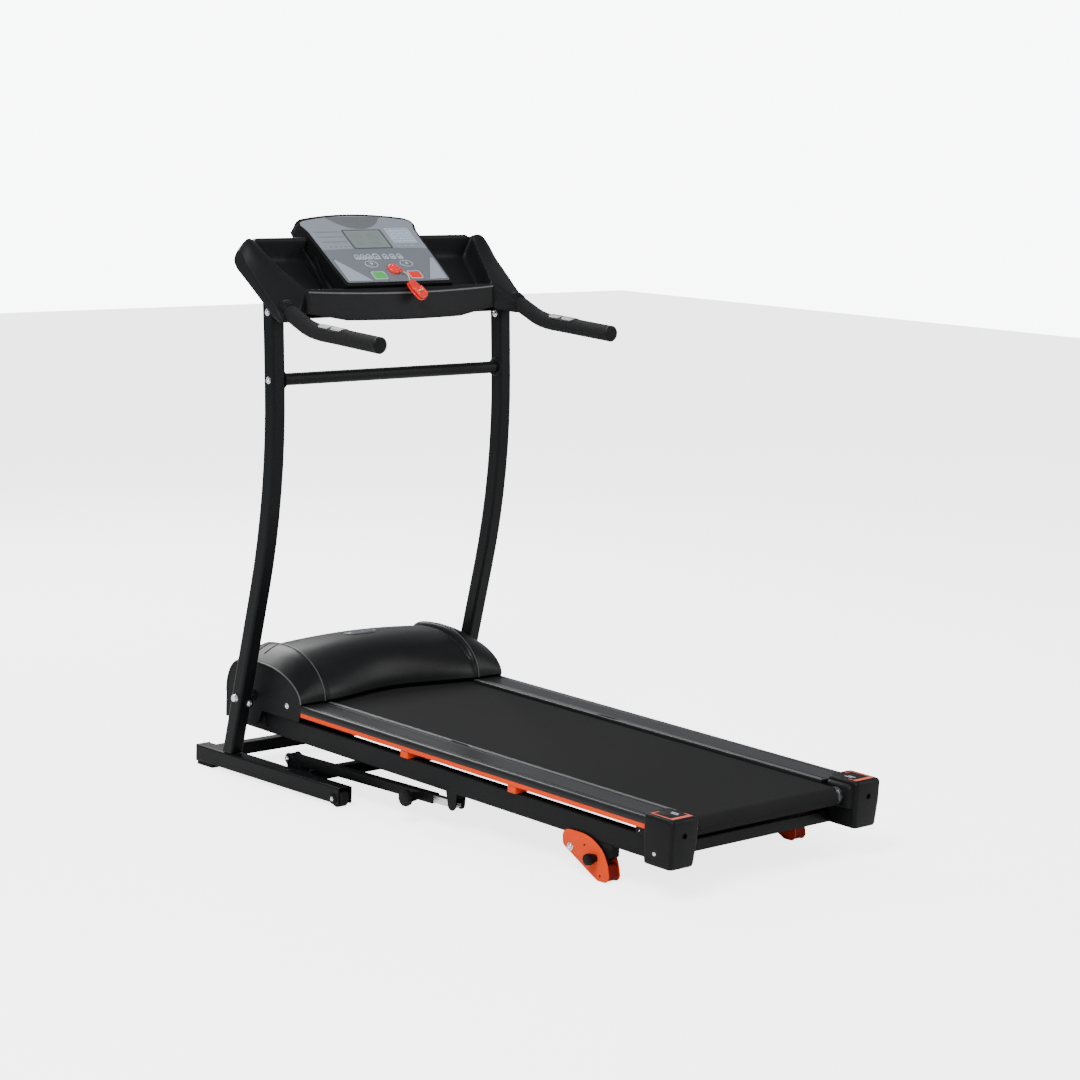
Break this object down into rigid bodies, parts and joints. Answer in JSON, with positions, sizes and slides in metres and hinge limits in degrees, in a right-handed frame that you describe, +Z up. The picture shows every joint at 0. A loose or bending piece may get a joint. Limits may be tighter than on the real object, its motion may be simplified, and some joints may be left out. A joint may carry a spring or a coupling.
{
  "type": "treadmill",
  "caption": "Folding home treadmill: tilted deck with a running belt and motor cover, two curved posts, console with side trays and swept-back handles.",
  "frame": {"origin": "middle of the whole machine's outline on the floor", "axes": "+Z up, +Y towards the motor and console end, +X to the user's right hand when facing the console"},
  "size_m": [0.77, 1.5676, 1.3225],
  "materials": {
    "frame_paint": "black powder coat, fine texture",
    "black_plastic": "moulded, fine grain",
    "soft_black": "matte rubber and foam",
    "belt_black": "woven running belt, matte",
    "orange": "moulded orange plastic",
    "zinc": "bright zinc plate",
    "steel": "turned steel",
    "board_wood": "dark coated fibre board",
    "face_grey": "printed grey membrane",
    "circuit_green": "printed circuit board",
    "red": "glossy red plastic",
    "green": "glossy green plastic",
    "beige": "thin braided cord"
  },
  "bodies": {
    "base": {"left_foot_tube": "frame_paint", "right_foot_tube": "frame_paint", "front_cross_tube": "frame_paint", "rear_cross_tube": "frame_paint", "left_post": "frame_paint", "right_post": "frame_paint", "crossbar": "frame_paint", "left_floor_pad": "soft_black", "right_floor_pad": "soft_black", "left_pivot_bolt": "zinc", "right_pivot_bolt": "zinc", "console_shell": "black_plastic", "console_back": "black_plastic", "display_pod": "black_plastic", "display_overlay": "face_grey", "display_board": "circuit_green", "left_handle": "frame_paint", "right_handle": "frame_paint", "left_grip": "soft_black", "right_grip": "soft_black", "left_pulse_plate": "zinc", "right_pulse_plate": "zinc"},
    "deck": {"left_side_tube": "frame_paint", "right_side_tube": "frame_paint", "rear_frame_tube": "frame_paint", "motor_bed": "frame_paint", "deck_board": "board_wood", "left_foot_rail": "black_plastic", "right_foot_rail": "black_plastic", "left_cushion_strip": "orange", "right_cushion_strip": "orange", "motor_hood": "black_plastic", "motor": "frame_paint", "drive_belt": "soft_black", "running_belt": "belt_black", "left_end_cap": "black_plastic", "right_end_cap": "black_plastic", "controller_board": "circuit_green", "mains_inlet": "black_plastic"},
    "motor_rotor": {"motor_pulley": "steel"},
    "front_roller_turns": {"front_roller": "steel"},
    "rear_roller_turns": {"rear_roller": "steel"},
    "left_wheel_turns": {"left_wheel": "soft_black"},
    "right_wheel_turns": {"right_wheel": "soft_black"},
    "left_foot_swings": {"left_incline_foot": "orange"},
    "right_foot_swings": {"right_incline_foot": "orange"},
    "left_foot_knob": {"left_incline_knob": "black_plastic"},
    "right_foot_knob": {"right_incline_knob": "black_plastic"},
    "strut_outer": {"strut_outer_tube": "frame_paint"},
    "strut_inner": {"strut_inner_tube": "zinc"},
    "strut_lock_knob": {"strut_knob": "black_plastic"},
    "start_key": {"start_button": "green"},
    "stop_key": {"stop_button": "red"},
    "slower_key": {"slower_button": "face_grey"},
    "faster_key": {"faster_button": "face_grey"},
    "magnet_key": {"safety_key": "red", "safety_cord": "beige", "safety_clip": "red"},
    "clip_lever": {"clip_jaw": "red"},
    "rocker_switch": {"power_switch": "red"}
  },
  "joints": [
    {"name": "deck_fold", "type": "hinge", "parent": "base", "child": "deck", "pos_m": [0, 0.63, 0.189], "axis": [-1, 0, 0], "range_deg": [0, 76]},
    {"name": "strut_swing", "type": "hinge", "parent": "base", "child": "strut_outer", "pos_m": [-0.285, 0.508, 0.056], "axis": [-1, 0, 0], "range_deg": [0, 78]},
    {"name": "strut_slide", "type": "slide", "parent": "strut_outer", "child": "strut_inner", "axis": [0, -0.9999, 0.0145], "range_m": [0, 0.225]},
    {"name": "strut_lock_pull", "type": "slide", "parent": "strut_outer", "child": "strut_lock_knob", "axis": [-1, 0, 0], "range_m": [0, 0.008], "stiffness_N_per_m": 400},
    {"name": "front_roller_spin", "type": "hinge", "parent": "deck", "child": "front_roller_turns", "pos_m": [0, 0.55538, 0.17013], "axis": [1, 0, 0], "continuous": true},
    {"name": "rear_roller_spin", "type": "hinge", "parent": "deck", "child": "rear_roller_turns", "pos_m": [0, -0.73434, 0.14312], "axis": [1, 0, 0], "continuous": true},
    {"name": "motor_spin", "type": "hinge", "parent": "deck", "child": "motor_rotor", "pos_m": [0, 0.65991, 0.19363], "axis": [1, 0, 0], "continuous": true},
    {"name": "left_wheel_spin", "type": "hinge", "parent": "base", "child": "left_wheel_turns", "pos_m": [-0.3475, 0.256, 0.021], "axis": [1, 0, 0], "continuous": true},
    {"name": "right_wheel_spin", "type": "hinge", "parent": "base", "child": "right_wheel_turns", "pos_m": [0.3475, 0.256, 0.021], "axis": [1, 0, 0], "continuous": true},
    {"name": "left_foot_swing", "type": "hinge", "parent": "deck", "child": "left_foot_swings", "pos_m": [-0.2875, -0.4675, 0.0565], "axis": [-1, 0, 0], "range_deg": [0, 15]},
    {"name": "left_foot_knob_pull", "type": "slide", "parent": "left_foot_swings", "child": "left_foot_knob", "axis": [-1, 0, 0], "range_m": [0, 0.007], "stiffness_N_per_m": 400},
    {"name": "right_foot_swing", "type": "hinge", "parent": "deck", "child": "right_foot_swings", "pos_m": [0.2875, -0.4675, 0.0565], "axis": [-1, 0, 0], "range_deg": [0, 15]},
    {"name": "right_foot_knob_pull", "type": "slide", "parent": "right_foot_swings", "child": "right_foot_knob", "axis": [1, 0, 0], "range_m": [0, 0.007], "stiffness_N_per_m": 400},
    {"name": "start_press", "type": "slide", "parent": "base", "child": "start_key", "axis": [0, 0.6018, -0.7986], "range_m": [0, 0.0015], "stiffness_N_per_m": 900},
    {"name": "stop_press", "type": "slide", "parent": "base", "child": "stop_key", "axis": [0, 0.6018, -0.7986], "range_m": [0, 0.0015], "stiffness_N_per_m": 900},
    {"name": "slower_press", "type": "slide", "parent": "base", "child": "slower_key", "axis": [0, 0.6018, -0.7986], "range_m": [0, 0.0015], "stiffness_N_per_m": 900},
    {"name": "faster_press", "type": "slide", "parent": "base", "child": "faster_key", "axis": [0, 0.6018, -0.7986], "range_m": [0, 0.0015], "stiffness_N_per_m": 900},
    {"name": "safety_key_pull", "type": "slide", "parent": "base", "child": "magnet_key", "axis": [0, -0.6018, 0.7986], "range_m": [0, 0.02]},
    {"name": "clip_open", "type": "hinge", "parent": "magnet_key", "child": "clip_lever", "pos_m": [0.02245, 0.46228, 1.15848], "axis": [0.9703, 0.1932, 0.1456], "range_deg": [0, 5], "stiffness_Nm_per_rad": 0.4},
    {"name": "power_rock", "type": "hinge", "parent": "deck", "child": "rocker_switch", "pos_m": [0.17, 0.73061, 0.1611], "axis": [1, 0, 0], "range_deg": [-6, 6]}
  ],
  "couplings": [
    {"joint": "strut_swing", "follows": "deck_fold", "ratio": 1.0134},
    {"joint": "strut_slide", "follows": "deck_fold", "m_per_rad": 0.1674},
    {"joint": "rear_roller_spin", "follows": "front_roller_spin", "ratio": 1},
    {"joint": "motor_spin", "follows": "front_roller_spin", "ratio": 2.1667}
  ]
}
